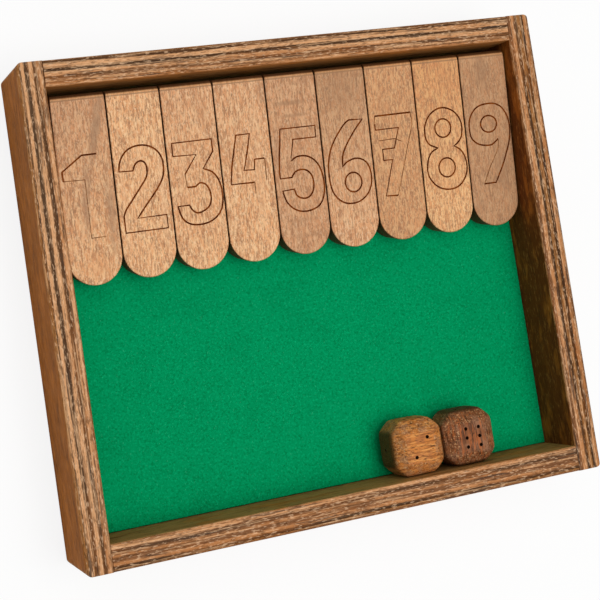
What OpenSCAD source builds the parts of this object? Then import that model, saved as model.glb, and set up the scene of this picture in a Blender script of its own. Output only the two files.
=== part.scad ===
// Shut the box game: an open plywood tray with nine tiles hinged on one rod, and two dice.
// Millimetres. +X runs along the row of tiles from tile 1 to tile 9, +Y towards the hinged ends,
// +Z up out of the open tray. The origin is the middle of the underside.

/* [Tray] */
// Outside width, along the row of tiles
box_width = 190; // [180:0.5:230]
// Outside depth, from the bottom rail to the top rail
box_depth = 168; // [155:0.5:230]
// Height of the frame boards
box_height = 35; // [34:0.5:42]
// Thickness of the plywood frame boards
board_thickness = 9; // [7:0.5:12]
// Round on the long top edges of the frame boards
board_edge_radius = 0.8; // [0.4:0.1:1.5]
// Round on the four upright outside corners
corner_radius = 2; // [1:0.25:4]
// Thickness of the base board, set in flush with the underside
base_thickness = 10; // [6:0.5:10.5]
// Thickness of the felt on the base board
felt_thickness = 2; // [1:0.25:2.5]
// Gap between the felt's edge and the frame
felt_edge_gap = 0.2; // [0.1:0.1:1]

/* [Hinge rod] */
// Diameter of the steel rod that carries the tiles
rod_diameter = 4; // [3:0.25:5]
// Height of the rod's axis above the underside
rod_height = 24; // [22:0.1:25]
// Distance from the rod's axis to the top rail
rod_to_rail = 7.9; // [7.9:0.1:12]
// Depth of the blind hole in each side board
rod_socket_depth = 5; // [3:0.25:6]
// Space left beyond each end of the rod
rod_end_gap = 0.25; // [0.1:0.05:0.5]
// Radial space around the glued rod in its blind holes
rod_socket_clearance = 0.02; // [0.01:0.01:0.05]

/* [Tiles] */
// Length of a tile from the square hinged end to the tip of the round end
tile_length = 64.7; // [50:0.1:72]
// Thickness of a tile
tile_thickness = 10; // [8:0.25:10.5]
// Distance from the rod's axis to the square end
tile_tail = 6; // [4.5:0.1:6.2]
// Gap between neighbouring tiles
tile_gap = 0.4; // [0.3:0.05:0.8]
// Gap between tile 1 and the left side board
row_gap_left = 1.4; // [0.5:0.1:3]
// Gap between tile 9 and the right side board
row_gap_right = 0.6; // [0.4:0.1:3]
// Slope of the eased edge that runs all round a tile's face and back
tile_edge = 0.5; // [0.3:0.05:0.8]
// Round on the top edge of the square end
tile_end_radius = 2; // [1:0.25:2.5]
// Radial running clearance of a tile on the rod
tile_bore_clearance = 0.08; // [0.05:0.01:0.1]
// Space between a tile's tip and the felt that it lies on
tile_rest_clearance = 0.05; // [0.02:0.01:0.1]

/* [Dice] */
// Size across the flats of a die
die_size = 20; // [18:0.5:21.5]
// Width that the broad 45 degree chamfers take off each face, along all edges of a die
die_chamfer = 4.4; // [3:0.1:5]
// Radius of the ball form that rounds the corners of a die
die_ball_radius = 12.6; // [12.4:0.1:13.2]
// Diameter of the drilled pips
pip_diameter = 1.3; // [0.8:0.1:2]
// Depth of the drilled pips
pip_depth = 1.4; // [0.8:0.1:2.5]
// Distance from the middle of a face to its outer pips, across the face
pip_across = 2.5; // [2:0.1:3.2]
// Distance from the middle of a face to its outer pips, along the face
pip_along = 3.2; // [2.2:0.1:3.6]
// Distance from the middle of the tray to the middle of the left die
die_left_x = 27.8; // [0:0.1:30]
// Gap between the two dice
dice_gap = 0.1; // [0.1:0.1:5]
// Gap between the dice and the bottom rail
dice_rail_gap = 0.15; // [0.1:0.05:3]

/* [Hidden] */
$fn = 72;

tiles = 9;
overcut = 1;
inner_width = box_width - 2 * board_thickness;
inner_depth = box_depth - 2 * board_thickness;
floor_height = base_thickness + felt_thickness;

rod_length = inner_width + 2 * (rod_socket_depth - rod_end_gap);
rod_y = inner_depth / 2 - rod_to_rail;

row_width = inner_width - row_gap_left - row_gap_right;
tile_width = (row_width - (tiles - 1) * tile_gap) / tiles;
tile_pitch = tile_width + tile_gap;
tile_arm = tile_length - tile_tail;
half_thick = tile_thickness / 2;

// A tile leans down from the rod until the bottom edge of its tip meets the felt.
tip_drop = rod_height - floor_height - tile_rest_clearance;
tip_reach = tile_arm - tile_edge;
rest_angle = asin(tip_drop / sqrt(pow(tip_reach, 2) + pow(half_thick, 2))) - atan(half_thick / tip_reach);

// Flipped up, a tile leans back until its face meets the inner top edge of the top rail.
edge_up = box_height - rod_height - board_edge_radius;
edge_back = rod_to_rail + board_edge_radius;
lean_back = atan(edge_back / edge_up)
          - asin((half_thick + board_edge_radius) / sqrt(pow(edge_up, 2) + pow(edge_back, 2)));
flip_range = 90 + rest_angle + lean_back;
echo(rest_angle = rest_angle, flip_range = flip_range, tile_width = tile_width);

die_y = die_size / 2 + dice_rail_gap - inner_depth / 2;
die_right_x = die_left_x + die_size + dice_gap;

wood_frame = "#6b4526";
wood_tile = "#b5835a";
wood_die = "#a8713f";
felt_green = "#008c54";
steel = "#a9abad";

// Frame board standing on edge, with both top edges rounded; its length runs along +Y from 0.
module frame_board(length) {
    rotate([90, 0, 180])
        linear_extrude(height = length)
            union() {
                translate([-board_thickness / 2, 0])
                    square([board_thickness, box_height - board_edge_radius]);
                translate([board_edge_radius - board_thickness / 2, 0])
                    square([board_thickness - 2 * board_edge_radius, box_height]);
                for (side = [-1, 1])
                    translate([side * (board_thickness / 2 - board_edge_radius),
                               box_height - board_edge_radius])
                        circle(r = board_edge_radius);
            }
}

// Outline of the whole tray from above, with its rounded upright corners.
module tray_outline() {
    reach_x = box_width / 2;
    reach_y = box_depth / 2;
    square([box_width - 2 * corner_radius, box_depth], center = true);
    square([box_width, box_depth - 2 * corner_radius], center = true);
    for (sx = [-1, 1], sy = [-1, 1])
        translate([sx * (reach_x - corner_radius), sy * (reach_y - corner_radius)])
            circle(r = corner_radius);
}

// Side board over the whole depth; its rod socket is blind, so nothing shows outside.
module side_board(side) {
    difference() {
        intersection() {
            translate([side * (box_width - board_thickness) / 2, -box_depth / 2, 0])
                frame_board(box_depth);
            linear_extrude(height = box_height)
                tray_outline();
        }
        translate([side * (inner_width / 2 - overcut), rod_y, rod_height])
            rotate([0, side * 90, 0])
                cylinder(r = rod_diameter / 2 + rod_socket_clearance, h = rod_socket_depth + overcut);
    }
}

module left_side() {
    color(wood_frame) side_board(-1);
}

module right_side() {
    color(wood_frame) side_board(1);
}

// Rail that butts between the side boards.
module rail(side) {
    translate([inner_width / 2, side * (box_depth - board_thickness) / 2, 0])
        rotate([0, 0, 90])
            frame_board(inner_width);
}

module top_rail() {
    color(wood_frame) rail(1);
}

module bottom_rail() {
    color(wood_frame) rail(-1);
}

module base_board() {
    color(wood_frame)
        translate([-inner_width / 2, -inner_depth / 2, 0])
            cube([inner_width, inner_depth, base_thickness]);
}

module felt() {
    felt_width = inner_width - 2 * felt_edge_gap;
    felt_depth = inner_depth - 2 * felt_edge_gap;
    color(felt_green)
        translate([-felt_width / 2, -felt_depth / 2, base_thickness])
            cube([felt_width, felt_depth, felt_thickness]);
}

module hinge_rod() {
    color(steel)
        translate([-rod_length / 2, rod_y, rod_height])
            rotate([0, 90, 0])
                cylinder(d = rod_diameter, h = rod_length);
}

// Half of a tile's cross-section, from its middle out to the eased edges.
module half_section() {
    half_width = tile_width / 2;
    polygon([[0, -half_thick], [half_width - tile_edge, -half_thick],
             [half_width, tile_edge - half_thick], [half_width, half_thick - tile_edge],
             [half_width - tile_edge, half_thick], [0, half_thick]]);
}

// Tile seen from the side: square end with a rounded top edge and an eased bottom edge.
module side_profile() {
    difference() {
        translate([-tile_arm - overcut, -half_thick - overcut])
            square([tile_length + overcut, tile_thickness + 2 * overcut]);
        translate([tile_tail - tile_end_radius, half_thick - tile_end_radius])
            difference() {
                square(tile_end_radius + 2 * overcut);
                circle(r = tile_end_radius);
            }
        translate([tile_tail - tile_edge, -half_thick - overcut])
            polygon([[0, 0], [0, overcut], [tile_edge, overcut + tile_edge],
                     [tile_edge + overcut, overcut + tile_edge], [tile_edge + overcut, 0]]);
    }
}

// Tile about the rod's axis, lying flat, with the round end towards -Y.
module tile_body() {
    shank = tile_length - tile_width / 2;
    difference() {
        intersection() {
            union() {
                translate([0, tile_tail, 0])
                    rotate([90, 0, 0])
                        linear_extrude(height = shank)
                            union() {
                                half_section();
                                mirror([1, 0]) half_section();
                            }
                translate([0, tile_tail - shank, 0])
                    rotate_extrude()
                        half_section();
            }
            rotate([90, 0, 90])
                linear_extrude(height = tile_width + 2 * overcut, center = true)
                    side_profile();
        }
        rotate([0, 90, 0])
            cylinder(r = rod_diameter / 2 + tile_bore_clearance, h = tile_width + 2 * overcut, center = true);
    }
}

// Tile of the given number, at its place on the rod and leaning on the felt.
module tile(number) {
    tile_x = row_gap_left - inner_width / 2 + tile_width / 2 + (number - 1) * tile_pitch;
    color(wood_tile)
        translate([tile_x, rod_y, rod_height])
            rotate([rest_angle, 0, 0])
                tile_body();
}

module tile_1() { tile(1); }
module tile_2() { tile(2); }
module tile_3() { tile(3); }
module tile_4() { tile(4); }
module tile_5() { tile(5); }
module tile_6() { tile(6); }
module tile_7() { tile(7); }
module tile_8() { tile(8); }
module tile_9() { tile(9); }

// Drill marks for one face value, on the top of a die centred at the origin.
module pips(value) {
    spots = [[-1, -1], [1, 1], [-1, 1], [1, -1], [-1, 0], [1, 0]];
    outer = value - value % 2;
    translate([0, 0, die_size / 2 - pip_depth]) {
        if (value % 2 == 1)
            cylinder(d = pip_diameter, h = pip_depth + overcut);
        if (outer > 0)
            for (i = [0 : outer - 1])
                translate([pip_across * spots[i][0], pip_along * spots[i][1]])
                    cylinder(d = pip_diameter, h = pip_depth + overcut);
    }
}

// Square bar turned by 45 degrees, whose flats are the chamfers along four edges of a die.
module chamfer_bar() {
    bar_width = sqrt(2) * (die_size - die_chamfer);
    rotate([0, 0, 45])
        cube([bar_width, bar_width, die_size + overcut], center = true);
}

// Wooden cube with chamfered edges and tumbled corners; opposite faces add up to seven.
module die_body(top, left, front) {
    difference() {
        intersection() {
            cube(die_size, center = true);
            chamfer_bar();
            rotate([90, 0, 0]) chamfer_bar();
            rotate([0, 90, 0]) chamfer_bar();
            sphere(r = die_ball_radius);
        }
        pips(top);
        rotate([180, 0, 0]) pips(7 - top);
        rotate([0, -90, 0]) pips(left);
        rotate([0, 90, 0]) pips(7 - left);
        rotate([90, 0, 0]) pips(front);
        rotate([-90, 0, 0]) pips(7 - front);
    }
}

module die_left() {
    color(wood_die)
        translate([die_left_x, die_y, floor_height + die_size / 2])
            die_body(top = 2, left = 1, front = 4);
}

module die_right() {
    color(wood_die)
        translate([die_right_x, die_y, floor_height + die_size / 2])
            die_body(top = 6, left = 3, front = 2);
}

left_side();
right_side();
top_rail();
bottom_rail();
base_board();
felt();
hinge_rod();
tile_1();
tile_2();
tile_3();
tile_4();
tile_5();
tile_6();
tile_7();
tile_8();
tile_9();
die_left();
die_right();
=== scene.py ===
import logging
import math
from dataclasses import dataclass
from enum import Enum
from typing import Any, Callable, Iterable

import bmesh
import bpy
from mathutils import Euler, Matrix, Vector


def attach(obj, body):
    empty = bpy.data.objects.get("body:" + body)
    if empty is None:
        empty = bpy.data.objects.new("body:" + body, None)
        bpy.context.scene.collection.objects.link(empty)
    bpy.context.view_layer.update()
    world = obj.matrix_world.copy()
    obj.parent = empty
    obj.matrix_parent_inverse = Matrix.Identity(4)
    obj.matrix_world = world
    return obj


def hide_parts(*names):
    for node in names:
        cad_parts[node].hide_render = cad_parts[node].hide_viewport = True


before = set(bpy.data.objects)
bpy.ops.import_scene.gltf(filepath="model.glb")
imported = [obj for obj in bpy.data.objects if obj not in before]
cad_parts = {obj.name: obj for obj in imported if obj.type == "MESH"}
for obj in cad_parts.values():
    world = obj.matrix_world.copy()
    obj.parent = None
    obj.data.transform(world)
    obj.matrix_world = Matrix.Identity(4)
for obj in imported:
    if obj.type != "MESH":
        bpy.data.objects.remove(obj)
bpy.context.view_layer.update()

log = logging.getLogger("shut_the_box")

Triple = tuple[float, float, float]
Point = tuple[float, float]
Tree = bpy.types.NodeTree
Node = bpy.types.Node


def mm(value: float) -> float:
    """Millimetres as Blender's metres."""
    return value / 1000.0


def place(x: float, y: float, z: float) -> Triple:
    """A point given in millimetres, in metres."""
    return (mm(x), mm(y), mm(z))


def srgb(code: str) -> tuple[float, float, float, float]:
    """Turns a colour as seen on a screen into the linear colour that a shader takes.

    Args:
        code: The colour as "#rrggbb".

    Returns:
        Linear red, green, blue and an alpha of 1.
    """
    parts = [int(code[i:i + 2], 16) / 255.0 for i in (1, 3, 5)]
    linear = [p / 12.92 if p <= 0.04045 else ((p + 0.055) / 1.055) ** 2.4 for p in parts]
    return (linear[0], linear[1], linear[2], 1.0)


def add_node(tree: Tree, kind: str, inputs: dict[int | str, Any] | None = None, **settings: Any) -> Node:
    """Adds one shader node with its settings, values and links.

    Args:
        tree: The node tree to add to.
        kind: The node's type name, without its "ShaderNode" start.
        inputs: What goes into each input, by its name or number: a number, a hex colour, a
            socket, or a node whose first result is meant.
        **settings: The node's own properties; stops fills a colour ramp.

    Returns:
        The new node.
    """
    node = tree.nodes.new("ShaderNode" + kind)
    for name, value in settings.items():
        if name == "stops":
            ramp = node.color_ramp.elements
            while len(ramp) < len(value):
                ramp.new(0.5)
            for element, (position, code) in zip(ramp, value):
                element.position, element.color = position, srgb(code)
        else:
            setattr(node, name, value)
    for name, value in (inputs or {}).items():
        if isinstance(name, int):
            socket = node.inputs[name]
        else:
            socket = next(s for s in node.inputs if s.enabled and s.name == name)
        if isinstance(value, bpy.types.Node):
            value = next(s for s in value.outputs if s.enabled)
        if isinstance(value, bpy.types.NodeSocket):
            tree.links.new(value, socket)
        else:
            socket.default_value = srgb(value) if isinstance(value, str) else value
    return node


# Workbench


class Part(Enum):
    """What is picked in edit mode."""

    VERTS = "verts"
    EDGES = "edges"
    FACES = "faces"


def only(obj: bpy.types.Object) -> bpy.types.Object:
    """Deselects everything and makes this object the one that operators act on."""
    bpy.ops.object.select_all(action="DESELECT")
    obj.select_set(True)
    bpy.context.view_layer.objects.active = obj
    return obj


def fresh(name: str) -> bpy.types.Object:
    """Names the primitive that was just added, with its scale and place moved into its mesh."""
    obj = bpy.context.active_object
    only(obj)
    obj.name = obj.data.name = name
    bpy.ops.object.transform_apply(location=True, rotation=True, scale=True)
    return obj


def pick(obj: bpy.types.Object, part: Part, test: Callable[[Vector, Vector], bool]) -> None:
    """Selects parts of a mesh in edit mode by their place and direction.

    Args:
        obj: The object that is in edit mode.
        part: Whether vertices, edges or faces are picked.
        test: Takes the part's middle in millimetres and its direction: a face's or vertex's
            normal, or an edge's run.
    """
    bpy.ops.mesh.select_mode(type={"verts": "VERT", "edges": "EDGE", "faces": "FACE"}[part.value])
    bpy.ops.mesh.select_all(action="DESELECT")
    mesh = bmesh.from_edit_mesh(obj.data)
    for item in getattr(mesh, part.value):
        if part is Part.VERTS:
            middle, run = item.co, item.normal
        elif part is Part.EDGES:
            start, end = item.verts[0].co, item.verts[1].co
            middle, run = (start + end) / 2, (end - start).normalized()
        else:
            middle, run = item.calc_center_median(), item.normal
        if test(middle * 1000, run):
            item.select_set(True)
    bmesh.update_edit_mesh(obj.data)


def finish_with(obj: bpy.types.Object, kind: str, **settings: Any) -> None:
    """Adds a modifier to an object, sets it up and applies it at once."""
    only(obj)
    modifier = obj.modifiers.new(kind.title(), kind)
    for name, value in settings.items():
        setattr(modifier, name, value)
    bpy.ops.object.modifier_apply(modifier=modifier.name)


def cut(obj: bpy.types.Object, tool: bpy.types.Object, operation: str = "DIFFERENCE") -> None:
    """Cuts an object with a tool that keeps its own finish on the cut faces, and drops the tool."""
    finish_with(obj, "BOOLEAN", operation=operation, object=tool, solver="EXACT",
                use_self=True, material_mode="TRANSFER")
    bpy.data.objects.remove(tool, do_unlink=True)


def copy_of(obj: bpy.types.Object, name: str) -> bpy.types.Object:
    """A copy of an object with a mesh of its own."""
    only(obj)
    bpy.ops.object.duplicate(linked=False)
    twin = bpy.context.active_object
    twin.name = twin.data.name = name
    return twin


def coat(obj: bpy.types.Object, material: bpy.types.Material) -> None:
    """Makes this the only finish of an object."""
    obj.data.materials.clear()
    obj.data.materials.append(material)


def settle(obj: bpy.types.Object, angle: float = 40.0) -> None:
    """Moves an object's turn and place into its mesh and smooths its shading over soft edges."""
    only(obj)
    bpy.ops.object.transform_apply(location=True, rotation=True, scale=True)
    bpy.ops.object.shade_smooth_by_angle(angle=math.radians(angle))
    finish_with(obj, "WEIGHTED_NORMAL", keep_sharp=True, weight=60)


# Finishes

# Where the troughs and crests of a pattern of streaks lie.
TROUGH, CREST = 0.3, 0.7


@dataclass(frozen=True)
class Layer:
    """One thing that the eye sees in a surface, laid over what is under it.

    Attributes:
        tone: Its colour.
        size: Size of its streaks or grains along X, Y and Z, in millimetres.
        start: Value of the pattern where it starts to show; the pattern runs from about 0.25 to
            0.75, so 0.5 starts it half way.
        full: Value of the pattern where it shows most, above start for the crests of the pattern
            and below it for the troughs.
        share: How much of its colour shows there, from 0 to 1.
        detail: Levels of finer grains inside the grains.
        rough: How strong the finer levels are.
    """

    tone: str
    size: Triple
    start: float
    full: float
    share: float
    detail: float = 2.0
    rough: float = 0.6


@dataclass(frozen=True)
class Finish:
    """A surface finish whose patterns are laid out in the piece's own millimetres.

    Attributes:
        name: Name of the material.
        origin: Point of the piece that its patterns start from, in millimetres.
        turn: Turn of the piece about X, Y and Z, in degrees.
        seed: Shifts the patterns so that no two pieces match.
    """

    name: str
    origin: Triple = (0.0, 0.0, 0.0)
    turn: Triple = (0.0, 0.0, 0.0)
    seed: float = 0.0

    def start(self) -> tuple[bpy.types.Material, Tree, Node]:
        """An empty material, its tree, and its coordinates in the piece's own millimetres."""
        material = bpy.data.materials.new(self.name)
        material.use_nodes = True
        tree = material.node_tree
        tree.nodes.clear()
        where = add_node(tree, "TexCoord").outputs["Object"]
        own = add_node(tree, "Mapping", {
            "Vector": where, "Location": place(*self.origin),
            "Rotation": tuple(math.radians(a) for a in self.turn),
            "Scale": place(1, 1, 1)}, vector_type="TEXTURE")
        return material, tree, own

    def streaks(self, tree: Tree, own: Node, size: Triple, shift: float = 0.0, detail: float = 2.0,
                rough: float = 0.6) -> Node:
        """Uneven streaks or grains of a real size.

        Args:
            tree: The material's tree.
            own: Coordinates in millimetres.
            size: Size of a streak along X, Y and Z, in millimetres.
            shift: Sets this pattern apart from the others of the piece.
            detail: Levels of finer streaks inside the streaks.
            rough: How strong the finer levels are.

        Returns:
            A value of about 0.25 to 0.75 that averages 0.5.
        """
        far = self.seed + shift
        scaled = add_node(tree, "VectorMath", {
            0: own, 1: tuple(1.0 / s for s in size), 2: (far, far * 1.7, far * 0.6)},
            operation="MULTIPLY_ADD")
        return add_node(tree, "TexNoise", {"Vector": scaled, "Scale": 1.0, "Detail": detail,
                                           "Roughness": rough})

    def lay(self, tree: Tree, own: Node, under: Any, layers: tuple[Layer, ...], shift: float = 0.0,
            where: Node | None = None) -> Node:
        """Lays patterns over a colour, one after another.

        Args:
            tree: The material's tree.
            own: Coordinates in millimetres.
            under: The colour that they are laid on, a node or a hex colour.
            layers: The patterns, in the order that they are laid.
            shift: Sets these patterns apart from the others of the piece.
            where: Limits the patterns to a part of the piece, 1 there and 0 elsewhere.

        Returns:
            The colour with all the layers on it.
        """
        for number, layer in enumerate(layers):
            grains = self.streaks(tree, own, layer.size, shift + 3.1 * number, layer.detail, layer.rough)
            share = add_node(tree, "MapRange", {
                "Value": grains, "From Min": layer.start, "From Max": layer.full, "To Max": layer.share},
                interpolation_type="SMOOTHSTEP")
            if where is not None:
                share = add_node(tree, "Math", {0: share, 1: where}, operation="MULTIPLY")
            under = add_node(tree, "Mix", {"Factor": share, "A": under, "B": layer.tone}, data_type="RGBA")
        return under

    def band(self, tree: Tree, under: Any, measure: Any, start: float, full: float, tone: Any,
             share: float = 1.0) -> Node:
        """Lays a tone over a colour where a measure of the piece lies in a range.

        Args:
            tree: The material's tree.
            under: The colour that it is laid on, a node or a hex colour.
            measure: The measure, such as a height or a distance, in millimetres.
            start: Value of the measure where the tone starts to show.
            full: Value of the measure where it shows most.
            tone: The tone, a node or a hex colour.
            share: How much of the tone shows there, from 0 to 1.

        Returns:
            The colour with the tone on it.
        """
        shows = add_node(tree, "MapRange", {
            "Value": measure, "From Min": start, "From Max": full, "To Max": share})
        return add_node(tree, "Mix", {"Factor": shows, "A": under, "B": tone}, data_type="RGBA")

    def apart(self, tree: Tree, measure: Any, line: float) -> Node:
        """How far a measure of the piece is from a line, in millimetres."""
        gap = add_node(tree, "Math", {0: measure, 1: line}, operation="SUBTRACT")
        return add_node(tree, "Math", {0: gap}, operation="ABSOLUTE")

    def close(self, material: bpy.types.Material, colour: Any, roughness: Any, height: Node, relief: float,
              **shader: Any) -> bpy.types.Material:
        """Puts the colour, roughness and relief on the shader and links it to the output.

        Args:
            material: The material.
            colour: Base colour, a node or a hex colour.
            roughness: Roughness, a node or a number, or two numbers for the troughs and the crests
                of the relief.
            height: Node with the height of the relief, from 0 to 1.
            relief: Depth of the relief in millimetres.
            **shader: Other inputs of the shader, with underscores for spaces.

        Returns:
            The finished material.
        """
        tree = material.node_tree
        if isinstance(roughness, tuple):
            roughness = add_node(tree, "MapRange", {
                "Value": height, "From Min": TROUGH, "From Max": CREST, "To Min": roughness[0],
                "To Max": roughness[1]})
        bump = add_node(tree, "Bump", {"Height": height, "Distance": mm(relief), "Strength": 1.0})
        inputs: dict[int | str, Any] = {"Base Color": colour, "Roughness": roughness, "Normal": bump}
        inputs.update({name.replace("_", " "): value for name, value in shader.items()})
        surface = add_node(tree, "BsdfPrincipled", inputs)
        add_node(tree, "OutputMaterial", {"Surface": surface})
        return material


class PlyTone(Enum):
    """How a ply took the stain, as its colour on the sawn edge."""

    PALE = "#d8a070"
    STRAW = "#c88c5c"
    TAN = "#b87c4c"
    VENEER = "#9c6838"
    BROWN = "#805434"
    UMBER = "#684428"
    SMOKE = "#543c28"
    SOOT = "#402814"


PlyStop = tuple[float, PlyTone]


@dataclass(frozen=True)
class StainedPlywood(Finish):
    """Birch plywood, sawn, brushed with brown stain and rubbed back.

    The eye sees seven plies on the sawn edges: the plies cut across their fibres drink the stain
    and go nearly black in streaks, those cut along theirs stay tan, and the face veneers are an
    even orange brown with fine long grain. X runs inwards from the board's outer face, Y along
    the board and Z up.

    Attributes:
        plies: Tones over the thickness, outer face at 0 and inner face at 1.
        outside: Colour of the outer veneer.
        inside: Colour of the inner veneer; the boards pass tones that hold painted shade and a painted felt
            reflection.
        thickness: Thickness of the board in millimetres.
        height: Height of the board in millimetres.
        skin: Depth of the face veneers' colour in millimetres.
    """

    plies: tuple[PlyStop, ...] = ()
    outside: str = "#9f5c16"
    inside: str = "#8a5222"
    thickness: float = 9.0
    height: float = 35.0
    skin: float = 0.3

    def make(self) -> bpy.types.Material:
        """Builds the material."""
        material, tree, own = self.start()
        axes = add_node(tree, "SeparateXYZ", {0: own})
        across, up = axes.outputs[0], axes.outputs[2]
        # Plies wander by 0.45 mm over 80 mm of board, and fray by 0.2 mm at the saw cut.
        wander, fray = 1.8, 0.8
        waves = self.streaks(tree, own, (30.0, 80.0, 60.0), 0.0, 1.0)
        torn = self.streaks(tree, own, (0.5, 1.8, 1.4), 4.0, 2.0)
        drift = add_node(tree, "Math", {0: waves, 1: wander, 2: across}, operation="MULTIPLY_ADD")
        drift = add_node(tree, "Math", {0: torn, 1: fray, 2: drift}, operation="MULTIPLY_ADD")
        middle = (wander + fray) / 2
        depth = add_node(tree, "MapRange", {
            "Value": drift, "From Min": middle, "From Max": self.thickness + middle})
        edge = add_node(tree, "ValToRGB", {0: depth}, stops=[(at, tone.value) for at, tone in self.plies])
        edge = self.lay(tree, own, edge, (
            # Orange drifts of three centimetres where the stain was wiped off.
            Layer("#9c5a24", (4.0, 35.0, 20.0), 0.50, 0.64, 0.32),
            # Stain drawn along the fibres in hairlines half a millimetre wide, and grey-black
            # blotches one to two centimetres long where the saw burnt the wood.
            Layer("#4f3018", (0.7, 30.0, 12.0), 0.52, 0.64, 0.42, 1.0),
            Layer("#37302c", (1.5, 22.0, 12.0), 0.58, 0.67, 0.72, 3.0),
            # Fibres that were rubbed bare, in bright hairlines.
            Layer("#efbb8a", (0.6, 26.0, 12.0), 0.53, 0.65, 0.42, 1.0),
            # Torn fibres and open cells, half a millimetre wide and 1 to 2 mm long, dark and pale.
            Layer("#45270f", (0.5, 2.8, 0.9), 0.52, 0.63, 0.52),
            Layer("#f6caa0", (0.5, 2.2, 0.9), 0.54, 0.66, 0.44)), 9.0)

        outer = add_node(tree, "MapRange", {"Value": across, "From Min": self.skin, "From Max": 0.0})
        inner = add_node(tree, "MapRange", {
            "Value": across, "From Min": self.thickness - self.skin, "From Max": self.thickness - 0.02})
        veneer = add_node(tree, "Mix", {"Factor": inner, "A": self.outside, "B": self.inside},
                          data_type="RGBA")
        face = self.lay(tree, own, veneer, (
            # Rotary-cut grain, 3 mm wide and a few centimetres long, a little darker than the rest.
            Layer("#6b3a10", (3.0, 30.0, 3.0), 0.50, 0.68, 0.50, 4.0),
            # Clouds where the stain dried thin, and soft blotches where it dried thick.
            Layer("#c2752a", (7.0, 16.0, 7.0), 0.50, 0.66, 0.50, 3.0),
            Layer("#43220a", (5.0, 16.0, 6.0), 0.50, 0.70, 0.42, 4.0, 0.7),
            # Fine lines and pores, half a millimetre wide and 2 to 6 mm long, dark and pale.
            Layer("#341a08", (0.8, 5.0, 0.6), 0.54, 0.66, 0.60, 3.0),
            Layer("#c98a48", (0.8, 3.0, 0.6), 0.56, 0.68, 0.40, 3.0)), 30.0)
        is_face = add_node(tree, "Math", {0: outer, 1: inner}, operation="MAXIMUM")
        colour = add_node(tree, "Mix", {"Factor": is_face, "A": edge, "B": face}, data_type="RGBA")
        # The arris along the top is rubbed almost bare in places, in a line of a millimetre.
        near_top = add_node(tree, "MapRange", {
            "Value": up, "From Min": self.height - 1.3, "From Max": self.height - 0.5})
        arris = add_node(tree, "Math", {0: near_top, 1: is_face}, operation="MULTIPLY")
        colour = self.lay(tree, own, colour, (
            Layer("#d59c66", (1.5, 6.0, 1.5), 0.42, 0.58, 0.75),), 50.0, arris)

        # Raised fibres and saw marks stand a fifth of a millimetre proud on the edges.
        relief = self.streaks(tree, own, (0.5, 3.0, 2.0), 60.0, 4.0, 0.7)
        roughness = add_node(tree, "MapRange", {
            "Value": relief, "From Min": TROUGH, "From Max": CREST, "To Min": 0.86, "To Max": 0.66})
        flat = add_node(tree, "MapRange", {"Value": is_face, "To Min": 1.0, "To Max": 0.3})
        relief = add_node(tree, "Math", {0: relief, 1: flat}, operation="MULTIPLY")
        return self.close(material, colour, roughness, relief, 0.2, Specular_IOR_Level=0.1)


@dataclass(frozen=True)
class PlyBoard(Finish):
    """Birch plywood face, sanded and stained once, as on the underside of the base board.

    The eye sees a wide flat face in even brown with rotary-cut grain in long soft waves.
    """

    def make(self) -> bpy.types.Material:
        """Builds the material."""
        material, tree, own = self.start()
        colour = self.lay(tree, own, "#a06a3a", (
            # Growth waves 3 mm wide and 60 mm long.
            Layer("#85532a", (60.0, 3.2, 5.0), 0.38, 0.62, 0.90, 4.0),
            # Fibres of a third of a millimetre, and clouds where the stain dried thin.
            Layer("#5a3519", (12.0, 0.4, 2.0), 0.50, 0.68, 0.60, 3.0),
            Layer("#c08a52", (30.0, 18.0, 9.0), 0.55, 0.72, 0.40)))
        fibres = self.streaks(tree, own, (12.0, 0.4, 2.0), 20.0, 3.0)
        return self.close(material, colour, 0.7, fibres, 0.06, Specular_IOR_Level=0.25)


@dataclass(frozen=True)
class Mark:
    """One soft mark in a tile's wood, such as a mineral streak, a cross band or a knot.

    Attributes:
        across: Middle of the mark from the tile's middle line, in millimetres.
        down: Middle of the mark from the square end, in millimetres.
        width: Half its size across, in millimetres.
        length: Half its size along, in millimetres.
        tone: Its colour.
        strength: How much of its colour shows, from 0 to 1.
        lean: Turn of its long axis, in degrees.
    """

    across: float
    down: float
    width: float
    length: float
    tone: str
    strength: float
    lean: float = 0.0


class Wash(Enum):
    """How the stain darkens a slat, as a colour that its wood is multiplied by."""

    BARE = "#f8e4d4"
    THIN = "#e8d0c4"
    EVEN = "#d0b4a8"
    THICK = "#b49888"
    AMBER = "#d4b498"
    GOLD = "#dcb488"
    HONEY = "#f4dcc0"


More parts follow.
